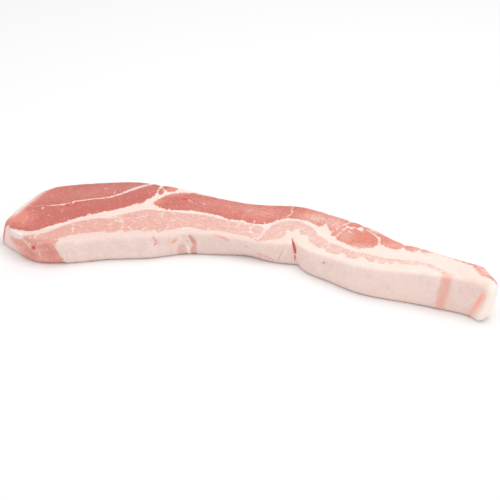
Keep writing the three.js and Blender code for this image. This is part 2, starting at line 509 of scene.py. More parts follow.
# %% Muscles
MUSCLES = {
    "thick_end": (0.12, [(-136, -10), (-136, -24), (-127, -26), (-122.5, -31), (-115, -32), (-109, -30),
        (-104.5, -24.5), (-98, -17.5), (-93, -11.5), (-87, -6), (-79, 0.6), (-72.8, 6.4), (-69.2, 11.4),
        (-66, 13.4), (-64.6, 17.3), (-62.3, 22.2), (-61.9, 27), (-62.4, 33), (-64.6, 38), (-78, 44),
        (-96, 41), (-106, 31), (-114, 28), (-123, 24.5), (-127.6, 17.5), (-129.4, 9.5), (-131.5, 2),
        (-133, -5)]),
    "seam_oval": (0.4, [(-61.6, 28.6), (-61.4, 33.4), (-59.8, 32.8), (-58.3, 29), (-58.6, 25.2),
        (-60.4, 25.4)]),
    "seam_cap": (0.75, [(-61.6, 35), (-60, 40), (-54, 40), (-52, 34.7), (-53.7, 30.7), (-57.1, 30.4),
        (-59.6, 33)]),
    "middle": (0.36, [(-60, 16.7), (-58, 21), (-54, 27.3), (-48, 31.6), (-42, 33.3), (-30, 32.7),
        (-13, 33.6), (2, 37), (13, 40), (20, 41), (31, 38), (35, 30), (35.6, 21), (34.8, 16.6),
        (32.5, 15.7), (27.5, 18.9), (23.5, 21), (17.5, 22), (12.5, 21.6), (8, 17.1), (2, 13.3), (-3, 13.2),
        (-5.6, 12.9), (-8.3, 14.2), (-11.6, 13.2), (-15.5, 12.3), (-19.5, 13.6), (-23, 14.4), (-27, 14),
        (-34, 14.4), (-43, 12.8), (-51, 11.6), (-58, 14)]),
    "first_slip": (0.75, [(33.8, 36), (34.2, 28), (35.4, 21.4), (37.7, 15.4), (39.6, 12.2), (41.4, 11.6),
        (43.4, 15.6), (45.6, 20.6), (47.4, 27)]),
    "second_slip": (0.8, [(41.2, 9), (43.7, 6), (45.3, 11), (47, 16.2), (46.8, 19.4), (44.6, 18.4),
        (42.6, 13.2)]),
    "oval": (0.75, [(44.6, 4.6), (45.6, 9), (47, 14.4), (48.8, 16.2), (50.8, 14.8), (52.2, 17),
        (55.6, 13.6), (57.8, 16), (60.4, 14), (64, 10.4), (66.6, 6.7), (67.4, 2), (65.2, -2), (60.3, -3.8),
        (55.4, -2.8), (50.6, 0.2), (47, 2.4)]),
    "oval_cap": (0.8, [(47, 21), (48.4, 18.4), (51, 17.6), (54.2, 18.2), (55.8, 20.4), (52, 27)]),
    "oval_fringe": (0.95, [(56, 16.7), (60.3, 14), (64.7, 10), (67.9, 8.8), (70, 13), (64, 20), (57, 25)]),
    "rib_slip": (1.05, [(66.8, 11), (67.4, 6.4), (68.8, 2), (72.8, -0.9), (78.1, -2.4), (80, -1),
        (80.4, 2.4), (79, 10), (70, 16)]),
    "rib_bead_1": (0.85, [(81, 1.6), (82.6, -1.8), (85.6, -3.2), (88.4, -2.2), (89.4, 3), (84, 8)]),
    "rib_bead_2": (0.85, [(89.8, -1), (91.4, -3.3), (94.4, -3), (95, 3), (90.5, 3.5)]),
    "rib_line": (0.95, [(95.2, 4), (95.4, -2.2), (98.8, -3.2), (105.7, -6.4), (112, -9.3), (118, -11.2),
        (124, -13), (124, -4), (104, 4)]),
    "thin_corner": (1.1, [(113, -6), (115.6, -9.9), (117.6, -11.8), (119.8, -14.6), (122, -18.6),
        (124.2, -20), (126.6, -20.6), (129, -22.4), (131.2, -24.4), (136, -23), (128, -6), (116, -2)]),
}
SLANT_THROUGH = 0.22

through = np.column_stack([x - SLANT_THROUGH * (top - z), y])
muscle = np.full(len(x), -OUT_OF_REACH)
tone = np.zeros(len(x))
for own_tone, outline in MUSCLES.values():
    depth = depth_inside(through, outline)
    tone = np.where(depth > muscle, own_tone, tone)
    muscle = np.maximum(muscle, depth)
print("muscles:", len(MUSCLES), "share of the skin points in lean:", round(float((muscle > 0).mean()), 2))

# %% [markdown]
# A muscle isn't one colour all over: where air reached it, it turns brighter and more orange, and its
# middle stays deep. Soft oval patches shift the tone up or down, others say where fat marbles the lean,
# and the next ones where fat blushes. The last ones are painted shade on the fat side: darker at the
# undercut waist, lighter towards the thin end.

# %% Soft patches
TONE_PATCHES = {
    "bright_tip": (1.2, -123, -20, 9, 7.5, 20),
    "upper_tip": (0.22, -120, 4, 12, 6, 60),
    "thick_end_rim": (0.55, -123.6, 0, 12, 2.4, 81),
    "deep_middle": (-0.12, -92, -2, 18, 5, 40),
    "front": (-0.15, -114, -14, 7, 7, 30),
    "rib_edge": (-0.2, -82, 32, 20, 7, 10),
    "middle_left": (-0.14, -46, 21, 12, 7, 20),
    "middle_tip": (0.8, -58, 18, 3, 5, 0),
    "middle_rim": (0.5, -51, 28, 8, 2.2, 30),
    "seam_cap": (0.4, -54, 33.5, 3, 3, 0),
    "middle_right": (0.24, -4, 23, 17, 10, 0),
    "behind_crease": (0.45, 26, 26, 9, 9, 0),
    "oval_core": (0.3, 58.5, 6, 6, 4.5, -24),
    "oval_rim": (-0.15, 60, -2, 7, 2.5, 0),
}
MARBLED_PATCHES = {
    "thick_end_rim": (0.4, -125, -3, 14, 2.2, 81),
    "upper_thick_end": (0.19, -96, 16, 18, 6, 25),
    "thick_end_corner": (0.05, -77, 29, 6, 7, 30),
    "middle_marks": (0.2, -34, 21, 12, 6, 0),
    "middle_end": (0.32, -4, 25, 18, 8, 0),
    "behind_crease": (0.85, 30, 24, 9, 7, -20),
    "slips": (0.74, 42, 18, 5, 9, 10),
    "oval_left": (0.65, 49.6, 6.4, 4.5, 7, 0),
    "oval_front": (0.85, 58, -2.4, 9, 3, 0),
    "fringe": (0.9, 62, 15.5, 7, 3, -35),
    "rib_slip": (0.55, 75, 1, 7, 4, -15),
    "beads": (0.75, 90, -2, 9, 4, -15),
    "rib_line": (0.9, 106, -6, 12, 5, -20),
    "thin_corner": (0.9, 124, -17, 8, 8, 0),
}
BLUSHING_PATCHES = {
    "thick_seam": (0.35, -84, -10, 20, 6, 40),
    "between_muscles": (0.2, -64, 12, 14, 8, 30),
    "slips": (0.08, 40, 16, 8, 10, 0),
    "thin_half": (-0.2, 84, -11, 24, 7, -14),
    "thin_corner": (0.3, 116, -19, 8, 3, -35),
    "before_lip": (0.8, 119, -27, 6, 3, -10),
    "lip_top": (0.5, 127, -28.4, 4, 2.4, -20),
    "over_stripe": (1.5, 107.2, -24, 2.8, 3, 0),
}
# Painted shade on the fat side: the waist, where the wall is undercut and faces down, is painted darker, and
# the thin half lighter.
SIDE_SHADE_PATCHES = {
    "waist": (0.6, -16, -6, 18, 14, 0),
    "thin_half": (-0.5, 76, -24, 36, 14, 0),
}

tone = tone + patches(*through.T, TONE_PATCHES)
marbled, blush, painted_side_shade = [
    patches(*through.T, table) for table in (MARBLED_PATCHES, BLUSHING_PATCHES, SIDE_SHADE_PATCHES)
]
print("tone from", round(float(tone.min()), 2), "to", round(float(tone.max()), 2))
print("most marbled:", round(float(marbled.max()), 2), "most blushing:", round(float(blush.max()), 2))

# %% [markdown]
# ## The pale layer
# Under the rind fat lies a long, thin sheet of paler lean. It follows the fat side from the thick end,
# arches over the crease and thins out towards the other end. It is one outline too, with a smooth upper
# edge and a lower edge that its bundles scallop.

# %% Pale layer
LAYER_UPPER_EDGE = [
    (-126, -36.4), (-118, -37), (-113.4, -37.4), (-111, -35.6), (-109, -34.4), (-106, -33.4),
    (-102.4, -29.6), (-97, -20.9), (-90, -13.6), (-82, -8.4), (-76, -5.6), (-72.5, -2), (-67, 3.6),
    (-60, 8.6), (-50, 9.6), (-36, 11.4), (-28, 12.3), (-18, 11.5), (-13, 11.5), (-8.5, 12.3), (-5.5, 11.7),
    (-1.5, 11.4), (3, 11.4), (5, 9), (6.2, 7.4), (7, 10.4), (8.8, 15.2), (14, 19.2), (19, 19.9), (24, 17.9),
    (29, 14.4), (32.8, 9.6), (36.6, 5), (39.8, 3.3), (42.4, 0), (48, -2.2), (55, -6.2), (65, -9),
    (76, -11.6), (86, -12), (94, -12.9), (99, -14.9), (103, -18), (106.4, -20.8),
]
LAYER_LOWER_EDGE = [
    (105, -22.4), (102, -20.4), (98, -18), (94, -16.7), (88, -16), (83, -16.6), (80.2, -14.8),
    (77.8, -17.6), (75.6, -14.9), (74, -17.4), (71.6, -16.6), (70.4, -13.6), (68.6, -17), (65, -14.6),
    (61.6, -11.6), (60.4, -14), (57.6, -15), (54.4, -13), (51.6, -9.6), (49.4, -11.4), (46, -10.8),
    (42.4, -8.6), (40.6, -5.8), (37.6, -6.2), (34, -2.4), (31.4, -0.6), (30.6, 3), (28.6, 5.6), (25, 6.8),
    (23.4, 11.2), (21.4, 11), (20.4, 8.6), (17.4, 9.6), (17.6, 5), (15, 0), (8, -2.6), (5, -4.2), (1, -2.3),
    (-3, -1), (-8, -0.5), (-18, -0.8), (-24, -2.8), (-31, -3), (-36, -4.4), (-40, -7.9), (-44, -10),
    (-46.4, -13.4), (-49, -12), (-51.6, -13.4), (-54.6, -15.2), (-55.8, -13.2), (-58, -14.6),
    (-61.2, -16.2), (-64, -18.2), (-66.4, -15.6), (-68, -18.4), (-71.4, -21.2), (-74.6, -20.6),
    (-78, -22.3), (-84, -25.8), (-89, -28.8), (-92, -32), (-94, -35), (-93.5, -42), (-126, -42),
]
layer = depth_inside(through, LAYER_UPPER_EDGE + LAYER_LOWER_EDGE)
print("share of the skin points in the pale layer:", round(float((layer > 0).mean()), 2))

# %% [markdown]
# ## Seams and bundles
# Thin white sheets of connective tissue part one muscle from the next, and a finer net of them wraps
# the bundles of the pale layer. They are drawn with pens: each row below is a half width, a strength and
# the strokes drawn with them, from the thin pens to the broad ones.

# %% Seams
SEAMS = [
    (0.3, 0.4, [(70.6, 6), (71.8, 1.6)]),
    (0.3, 0.6, [(63.6, 12.8), (67.4, 11.2)]),
    (0.32, 0.6, [(-38.2, 21.8), (-36.2, 20.8)]),
    (0.34, 0.7, [(-44, 24.3), (-41.5, 24), (-38.5, 21)], [(-35, 24.4), (-31.7, 21.4)]),
    (0.35, 0.25, [(34.8, 33), (35, 26), (35.8, 18)]),
    (0.35, 0.3, [(39.6, 22), (43, 16.4)]),
    (0.35, 0.35, [(36.4, 22), (40.6, 13)]),
    (0.35, 0.45, [(-62.6, 37), (-61.9, 31), (-61.3, 26)]),
    (0.35, 0.5, (-64.1, 24.8), [(-62, 34.2), (-58, 31)]),
    (0.35, 0.6, (-63.1, 25.2), [(60, 17), (64.4, 13)]),
    (0.35, 0.75, [(-101.9, 0.5), (-100.8, -2.2)]),
    (0.4, 0.3, [(-115.2, -6.3), (-112.3, -12.7)], [(-99.6, 10), (-91.2, 12.3)], [(-107, 15.4),
     (-101.8, 17.4)]),
    (0.4, 0.35, [(-101.6, 11.9), (-96, 13.6), (-91.4, 14.4)]),
    (0.4, 0.4, [(27, 27.8), (30, 25), (32, 23.3), (34.6, 22.6)]),
    (0.4, 0.5, [(-65.5, 26), (-64.9, 23.6)], (-52, 22.6), [(-10, 24.2), (-5.5, 25.8), (-1, 26.4),
     (3.3, 25.2), (5.9, 26.6)], [(22.3, 28.9), (24.5, 25.4), (28, 23.6), (32, 23.3)], [(56, 14),
     (57.8, 11)]),
    (0.4, 0.7, (-14.3, 20.7), [(49.5, 14.8), (50.4, 11.4), (53.4, 8.4)]),
    (0.45, 0.5, (-68.6, 24.5)),
    (0.45, 0.6, [(57.4, 16.6), (61.2, 13.4), (65.4, 9.4), (68, 4)]),
    (0.45, 0.7, (-82.1, 23.8)),
    (0.45, 0.8, (-18.6, 23.5)),
    (0.45, 0.9, [(-90.9, 23.2), (-89.3, 23)]),
    (0.45, 0.95, [(-114.8, -3.6), (-111, -2.4), (-108, -1), (-105.7, -0.1), (-103.6, 2), (-102, 2.3)]),
    (0.5, 0.4, [(-104.4, -4), (-103.4, -7.6), (-102.8, -11)]),
    (0.5, 0.6, (-120.4, -12.9)),
    (0.5, 0.7, (-118.9, -11.3), [(-84.3, 22.2), (-83, 17.2)]),
    (0.5, 0.75, [(12.4, 40), (14.2, 31), (14.6, 27.6), (13.2, 22)]),
    (0.5, 0.8, [(-115.5, -5.2), (-114.6, -8)]),
    (0.5, 0.9, (-108.7, -13.4)),
    (0.5, 1, (-118.1, -24.6)),
    (0.52, 1.15, [(-100.7, 0.6), (-101.4, 2.8), (-101.2, 4.4), (-99, 5.6), (-95.7, 7.5), (-91.5, 10.2),
     (-87.5, 12), (-83.5, 14.4)]),
    (0.55, 0.6, [(3.3, 16.2), (4, 13.4)]),
    (0.6, 0.45, [(-124, -5.6), (-119.5, -5.6), (-116, -4.2), (-113, -3.2)], [(-119.1, -17.3),
     (-118, -21.6)]),
    (0.6, 0.5, (-70.8, 19.9)),
    (0.6, 0.6, [(-2.5, 16.6), (-2, 13)]),
    (0.6, 0.9, [(-101.4, 2.6), (-101, 4.8)]),
    (0.8, 0.95, [(-87, 12.4), (-83, 15), (-79.2, 19.6), (-76, 24)]),
    (0.8, 1.2, [(-107, -0.7), (-105.4, -0.2)]),
    (1.35, 0.85, [(-79.2, 19.6), (-74.5, 26.6), (-71.2, 32.4), (-66, 40)]),
]
seam = strokes(through, SEAMS)
print("seams:", count_drawn(SEAMS))

# %% Bundles
BUNDLE_NET = [
    (0.32, 0.5, [(-62.4, -5), (-63.3, -9.6)]),
    (0.35, 0.5, [(-67.9, 2.5), (-66.4, 0.4)], [(-43.4, 2.4), (-41.7, -2)]),
    (0.35, 0.55, [(36.4, 4.4), (39.4, 4), (41.8, -0.2), (40.2, -4.6)]),
    (0.35, 0.6, [(-61.6, -15), (-60.4, -12.6)], [(-26, 0.6), (-23, -1), (-20.6, -2.2)], [(-14, 2.4),
     (-8.5, 1.2), (-5, 2.6), (-1.4, 3.2)]),
    (0.35, 0.7, [(-53, 1.8), (-52.7, -1.5), (-50, -3.6)], [(-43.8, -4.6), (-43.8, -9.6)]),
    (0.35, 0.8, [(-46.4, 9.9), (-44.6, 6.8)]),
    (0.35, 0.9, [(-92.2, -17.2), (-91.6, -20), (-90.8, -23), (-88.4, -28)]),
    (0.36, 0.8, [(-1.7, 6.3), (-2, 10), (0, 12.4), (2.9, 11.4), (4.9, 8), (4.8, 4.6), (3.2, 2.4), (0.8, 3),
     (-1.7, 6.3)], [(-3.6, 11.4), (-2.2, 7), (-0.8, 2.8), (1.4, 0.4), (3.4, -2.6)]),
    (0.39, 0.4, [(15, 13), (13.8, 9.5), (14.6, 4.5), (11.7, 1)]),
    (0.39, 0.6, [(-8.4, 11), (-5.6, 11.6), (-3.7, 11)]),
    (0.39, 0.7, [(42.4, 0.6), (42.6, -4.8)]),
    (0.39, 0.75, [(-74.8, -2.7), (-72.4, -5), (-70.1, -5.9), (-65.8, -3.1), (-59.7, 0.3), (-58.8, 3.6)]),
    (0.39, 0.8, [(-68.4, -7.4), (-67, -12), (-65.3, -16.4)], [(-65, -10.4), (-62.8, -12.6), (-60.6, -15)],
     [(-54.4, -10.6), (-55.8, -15)], [(-50.8, 8.6), (-51.1, 4.9), (-49.6, 1.6)]),
    (0.42, 0.5, [(17.2, 12.6), (16.4, 9.6)], [(46.6, -9.6), (48.4, -6.6)]),
    (0.42, 0.6, [(-103, -34), (-102, -37)], [(59.4, -13.8), (61.2, -7.8)], [(72.4, -15.8), (75.8, -11.4)],
     [(79, -15.9), (80, -12)]),
    (0.42, 0.7, [(-104.6, -33.4), (-105.2, -37.4)], [(70, -15.6), (68.8, -10.6)]),
    (0.42, 0.8, [(-81, -8), (-78.5, -6.8), (-73.8, -6), (-70.7, -7.9), (-67.9, -7)], [(54.8, -11.8),
     (55.6, -6.4)]),
    (0.42, 0.85, [(5.8, 8.6), (5.6, 3.6), (4.8, 0), (4.6, -3.6)]),
    (0.42, 0.9, [(-42.2, 4.2), (-40, 4.5)]),
    (0.45, 0.95, [(-10.3, 11.8), (-9.3, 8.4), (-10.2, 6.4)]),
    (0.49, 0.3, [(12.5, 14.5), (19.1, 16), (24.4, 12.6), (29.8, 8.2)]),
    (0.56, 0.7, (-86.4, -12.8)),
    (0.56, 0.9, [(-81.4, -13.8), (-80.2, -13.2)], [(-74.6, -12.6), (-73.4, -11.6)]),
    (2.6, 0.45, [(82, -14), (88, -14.4), (95, -15.4), (100, -17.4), (105, -21)]),
]
net = strokes(through, BUNDLE_NET)
print("strokes in the net:", count_drawn(BUNDLE_NET))

# %% [markdown]
# ## The fat side
# The rind was trimmed off the outer side, so what shows there is smooth, slightly pink fat. At the
# thick end the knife went a little deeper and bared lean, and the fat starts there with a ragged edge.
# That edge doesn't follow the muscles seen from above, so it is drawn on the side itself, measured along
# the slice and up from the table. So are the white corner at the tip, the trimmed patch, the pink stripe
# near the thin end and the groove behind the lip. A pair of numbers with a name like STRIPE_EDGE says
# where a change starts and where it is done.

# %% Shapes on the fat side
BARED_LEAN = [
    (-111, 19), (-111.8, 13.6), (-113.8, 12.3), (-117.5, 11.3), (-121, 10.7), (-124, 10.4), (-123.2, 6.5),
    (-120.6, 5), (-118, 3), (-116.6, 0), (-116, -4), (-90, -4), (-91, 1.3), (-92.7, 5.2), (-93.3, 8),
    (-94.7, 10.6), (-95, 12.4), (-94.2, 14.4), (-93.8, 19),
]
WHITE_TIP = [
    (-129, 10), (-127, 12.6), (-124.8, 12), (-124, 9.6), (-123.4, 6), (-121, 4.8), (-118.8, 3.4),
    (-117.6, 1), (-117, -4), (-131, -4), (-129.6, 4),
]
TRIMMED_ARC = [
    (-31.6, 12.4), (-30, 11.9), (-28.6, 10.6), (-27.7, 8.6), (-27.5, 6), (-27.9, -3), (-30.8, -3),
    (-30.8, 1.4), (-30.4, 4.8), (-29.5, 6.2), (-30, 8.4), (-31, 10.6),
]
TRIMMED_CORNER = [
    (-37, -3), (-36.9, 4.5), (-35.8, 6.8), (-34.1, 7.3), (-33, 6.2), (-32.3, 4.4), (-33.4, 3.2), (-32, 1.8),
    (-32.6, -3),
]
STRIPE = [
    (105.4, 23), (104.6, 19.5), (104, 15), (103, 8.4), (102.2, 1.2), (102, -4), (108, -4), (108, 2.4),
    (108.8, 9.3), (109.5, 16), (109.8, 19.9), (110.4, 23),
]
print("bared lean reaches from", min(BARED_LEAN)[0], "to", max(BARED_LEAN)[0], "mm")

# %% Bared lean and white tip
SIDE_ENDS_AT = (0.95, 0.995)
SIDE_TURNS_AT = (0.1, 0.3)
RIM_ENDS_AT = (0.84, 0.99)
RIM_TURNS_AT = (0.2, 0.5)
BARED_LEAN_ENDS = -60
DEPTH_THAT_COUNTS = 8
TIP_HAZE = 0.55
TIP_HAZE_EDGE = (-7, 0)
TIP_EDGE = (-1.8, 1.4)
TIP_TURNS_AT = (0.05, 0.09)

on_fat_side = (across < 0.5) & (wall < 1)
from_side = np.column_stack([x, z])


def on_side(values):
    """Keeps values on the fat side only, and lets them fade where it turns into the cut face or an end."""
    fading = eased(height, SIDE_ENDS_AT, 1, 0) * eased(across, SIDE_TURNS_AT, 1, 0)
    return np.where(on_fat_side, values * fading, 0)


below_rim = np.where(on_fat_side, eased(height, RIM_ENDS_AT, 1, 0) * eased(across, RIM_TURNS_AT, 1, 0), 0)
bared_depth = depth_inside(from_side, BARED_LEAN)
bared_instead = np.maximum(bared_depth, -DEPTH_THAT_COUNTS) - np.maximum(layer, -DEPTH_THAT_COUNTS)
layer = np.where(x < BARED_LEAN_ENDS, layer + below_rim * bared_instead, layer)
tip_depth = depth_inside(from_side, WHITE_TIP)
tip = eased(tip_depth, TIP_HAZE_EDGE, 0, TIP_HAZE) + eased(tip_depth, TIP_EDGE, 0, 1 - TIP_HAZE)
tip *= below_rim * eased(across, TIP_TURNS_AT, 1, 0)
print("side points with bared lean:", int((on_fat_side & (bared_depth > 0)).sum()))

# %% Trimmed patch and stripe
ARC_EDGE = (-0.4, 0.5)
ARC_DARKENS_AT = (6, 8.5)
ARC_DARKNESS = (0.72, 1.18)
CORNER_EDGE = (-0.6, 0.8)
CORNER_STRENGTH = 0.45
STRIPE_EDGE = (-0.7, 0.8)
STRIPE_FOOT = 102.2
STRIPE_SLOPE = 0.16
STRIPE_PALES_AT = (2.5, 5.5)
STRIPE_LEFT_WHERE_PALE = 0.65
STRIPE_FADE_AND_PAINTED_LIGHT_AT = (2, 8)
STRIPE_FADE_AND_PAINTED_LIGHT = (0.75, 1)

arc = eased(depth_inside(from_side, TRIMMED_ARC), ARC_EDGE) * eased(z, ARC_DARKENS_AT, *ARC_DARKNESS)
corner = eased(depth_inside(from_side, TRIMMED_CORNER), CORNER_EDGE, 0, CORNER_STRENGTH)
trimmed = on_side(arc + corner)
# Near the table the stripe is paler: partly its own fading, partly painted light that lifts the contact
# shadow at its foot.
stripe = eased(depth_inside(from_side, STRIPE), STRIPE_EDGE) * eased(z, STRIPE_FADE_AND_PAINTED_LIGHT_AT, *STRIPE_FADE_AND_PAINTED_LIGHT)
past_stripe = x - STRIPE_FOOT - STRIPE_SLOPE * z
stripe = on_side(stripe * eased(past_stripe, STRIPE_PALES_AT, 1, STRIPE_LEFT_WHERE_PALE))
print("points in the patch:", int((trimmed > 0.5).sum()), "in the stripe:", int((stripe > 0.5).sum()))

# %% Lip and groove
LIP_FOOT = 119.1
LIP_SLOPE = 0.377
LIP_BEND = 0.004
LIP_TOP = 20
LIP_EDGE = (0.2, 4.4)
LIP_WRAPS_FROM = 125
GROOVE_HALF_WIDTH = 1.0
GROOVE_DARKENS_AT = (2, 12)
GROOVE_DARKNESS = (0.55, 1)
GROOVE_ENDS_AT = (14.5, 18.5)
HALO_STRENGTH = 0.35
HALO_PLACE = 1.7
HALO_HALF_WIDTH = 1.5

past_groove = x - LIP_FOOT - LIP_SLOPE * z - LIP_BEND * z * (LIP_TOP - z)
lip = np.where(on_fat_side | (x > LIP_WRAPS_FROM), eased(past_groove, LIP_EDGE), 0)
halo = HALO_STRENGTH * np.exp(-((past_groove - HALO_PLACE) / HALO_HALF_WIDTH) ** 2)
groove = np.exp(-(past_groove / GROOVE_HALF_WIDTH) ** 2) + halo
groove = on_side(groove * eased(z, GROOVE_DARKENS_AT, *GROOVE_DARKNESS)) * eased(z, GROOVE_ENDS_AT, 1, 0)
print("points on the lip:", int((lip > 0.5).sum()), "in the groove:", int((groove > 0.5).sum()))

# %% [markdown]
# ## Small marks
# Vessels, spots of blood and crumbs of fat are strokes. Those of the fat side are measured like its
# shapes. The crease holds blood, thin at the top, broken half way down and gone near the table. It is
# found by how far along the slice it lies, and four short rows say how it wanders, darkens and widens.

# %% Veins and streaks
VEINS = [
    (0.35, 0.25, [(16.9, 12.6), (18.9, 9.4)]),
    (0.35, 0.3, (-7.2, 6.4)),
    (0.35, 0.4, (-31.7, 12.6), (-35.8, 6.2)),
    (0.35, 0.5, (-34.2, 8.6)),
    (0.35, 0.7, (-33.1, 12)),
    (0.36, 0.35, [(-41.3, 13.7), (-40.6, 11.9), (-40.2, 7), (-39.8, 1)]),
    (0.36, 0.4, [(0.2, 7.9), (4.5, 5.6)]),
    (0.4, 0.2, (-17.2, 9), (-22, 12)),
    (0.4, 0.25, [(-24.2, 12.8), (-24.5, 7.5)]),
    (0.4, 0.3, (-96.1, 12.7), (-97.6, 5.6)),
    (0.4, 0.35, [(14.9, 1.8), (20, 1.5)]),
    (0.4, 0.4, (-57.3, 12.6), (-57, 10.8)),
    (0.4, 0.5, (-57, 14), (-33.2, 4.8)),
    (0.4, 0.6, (-33.6, 10.4)),
    (0.4, 0.8, (-34.3, 12.1)),
    (0.42, 0.55, [(18.9, 9.4), (17.9, 7.1), (16, 2.2)]),
    (0.42, 0.9, [(42, 11.4), (44.2, 10.9)]),
    (0.45, 0.6, (15.4, 1.2)),
    (0.45, 0.65, [(-2.7, 8.7), (0.2, 7.9)]),
    (0.45, 0.75, [(4.5, 5.6), (7.5, 4.4), (10.8, 3.5), (14.9, 1.8)]),
    (0.45, 0.8, [(-48.5, 14.2), (-46.9, 11.8), (-46, 10.6)], [(-46.2, 10.4), (-47.7, 8.1)], [(-32.4, 9.3),
     (-31.4, 8.7)]),
    (0.5, 0.2, [(-121, 3.4), (-117, 1.6)]),
    (0.5, 0.35, (12, 2.9)),
    (0.5, 0.4, [(-123.4, 10.4), (-119.8, 9), (-117.2, 6.4)], (-48.8, 13.4)),
    (0.5, 0.5, (-99.3, 9.2), (-45.4, 9.8)),
    (0.5, 0.8, [(-86.8, 0.2), (-85.6, 0.6)], [(-79.4, 0.6), (-78, 0.9)]),
    (0.6, 0.18, (-81.8, 11.9)),
    (0.6, 0.5, (-104.4, 12.4)),
    (1, 0.25, (-67.7, 11.2)),
    (1.1, 0.5, (-46, 10.7)),
    (1.8, 0.6, [(-109.6, 6.6), (-107.4, 5)]),
    (2.4, 0.35, [(-99.4, 11.6), (-97.6, 8)]),
]
ORANGE_STREAKS = [
    (0.4, 0.3, (-23, 10.4)),
    (0.5, 0.8, [(-14.2, 12.1), (-10.4, 10.6)]),
    (0.5, 1, [(-19.7, 12.8), (-17, 12.5), (-13.6, 11.8), (-10, 10.3)]),
    (0.85, 0.9, [(-38.8, 9), (-37.5, 10.4)]),
]
vein = on_side(strokes(from_side, VEINS))
orange = on_side(strokes(from_side, ORANGE_STREAKS))
print("veins:", count_drawn(VEINS), "orange streaks:", count_drawn(ORANGE_STREAKS))

# %% Crumbs on the fat side
CRUMBS = [
    (0.3, 0.7, (-99.6, 8.6)),
    (0.35, 0.4, (-101, 4.6)),
    (0.35, 0.5, (-96.8, 10.4), (-95.6, 8.4)),
    (0.35, 0.6, (-111.4, 9.2), (-105.6, 12)),
    (0.35, 0.8, (-107.6, 10.8)),
    (0.4, 0.7, (-106.4, 7.2)),
    (0.4, 0.8, (-110.4, 12.6)),
    (0.4, 0.9, (-98.8, 9.6)),
    (0.4, 1.3, (81.1, 13.1)),
    (0.45, 1.3, [(104, 10.6), (104.6, 10.5)]),
    (0.5, 0.5, (-33.4, 10.6)),
    (0.5, 0.8, (-30.9, 9.4)),
    (0.55, 1, [(-31.7, 4), (-31.4, 0.6)]),
    (0.6, 0.45, [(-103, 14), (-103.9, 11), (-105.3, 6)]),
    (0.6, 0.6, [(-112.6, 11.4), (-109.6, 10.4)], [(-108.2, 12), (-109.4, 10.2)]),
    (0.6, 1, (-30.5, 7.3), [(-32.2, 6), (-31.3, 4.1)]),
    (0.7, 0.35, [(-105.3, 6), (-106, 1)]),
    (0.7, 0.5, (-35.2, 10.6)),
    (0.7, 0.7, [(-113.4, 13), (-110.8, 11.4), (-109, 9.7), (-107.9, 8.3)]),
    (1.2, 0.5, [(-118.6, 14.6), (-114, 13.8)]),
    (1.5, 0.5, [(-120.6, 13.4), (-117.6, 12.8), (-114, 12.4)]),
    (2.2, 0.4, [(-103.8, 9), (-102.6, 4), (-104.6, 1)]),
]
crumbs = on_side(strokes(from_side, CRUMBS))
print("crumbs of fat on the side:", count_drawn(CRUMBS))

# %% Crease
CREASE_LEVELS = (0.15, 0.28, 0.38, 0.46, 0.5, 0.54, 0.62, 0.78, 0.9, 1)
CREASE_WANDERS = (-0.6, -0.6, -0.35, 0, 0.2, 0.3, 0.5, 0.65, 0.3, 0)
CREASE_DARKNESS = (0, 0.5, 0.8, 0.75, 0.1, 0.75, 0.95, 1, 0.9, 0.7)
CREASE_HALF_WIDTHS = (0.5, 0.5, 0.5, 0.5, 0.5, 0.5, 0.6, 0.65, 0.45, 0.35)
CREASE_ON_CUT_FACE = (0, 0.04)

from_crease = (along - CREASE_SHARE) * length - np.interp(height, CREASE_LEVELS, CREASE_WANDERS)
crease = np.exp(-(from_crease / np.interp(height, CREASE_LEVELS, CREASE_HALF_WIDTHS)) ** 2)
crease *= np.interp(height, CREASE_LEVELS, CREASE_DARKNESS)
crease *= np.where(on_fat_side, 1, (height == 1) * eased(across, CREASE_ON_CUT_FACE, 1, 0))
print("points in the crease's blood:", int((crease > 0.5).sum()))

# %% Spots and crumbs on the cut face
SPOTS = [
    (0.42, 1.4, (-95.7, -4.5), (-94.6, -4.2), (-93.5, -3.9)),
    (0.5, 1.4, (-97.6, -2.7)),
    (0.6, 0.3, [(-50.6, 26), (-50, 26.4)]),
    (0.6, 0.9, [(-59.4, 35.6), (-59, 33)]),
    (0.7, 0.35, [(-112.2, -19.6), (-111.6, -22.4)]),
    (0.7, 0.6, (-96.6, 3.3)),
    (0.8, 1, [(-45.8, 24.4), (-43.8, 24.4)]),
    (0.9, 0.5, (-68.3, 18.1)),
    (0.9, 1.1, [(-104, -0.2), (-102.4, -1.3)], [(-60.4, 37), (-58.8, 36.8)]),
    (1, 0.22, [(-108.6, -20.6), (-107.4, -22.4)]),
    (1, 0.6, [(-101, -0.8), (-100, -1.2)], [(-99.2, -0.4), (-99.2, 2)]),
    (1.1, 0.28, [(-17.6, 2.9), (-16, 3.2)]),
    (1.2, 0.45, (-43.1, 26.1)),
    (1.3, 0.3, [(-45.6, 23.4), (-42.8, 23)]),
    (1.3, 0.6, [(-99.6, 3.2), (-97.8, 3.7)]),
    (1.4, 0.3, (-95, 5.6)),
]
SPOT_IN_SIDE = (1.1, 1, (-106.2, 9.5))
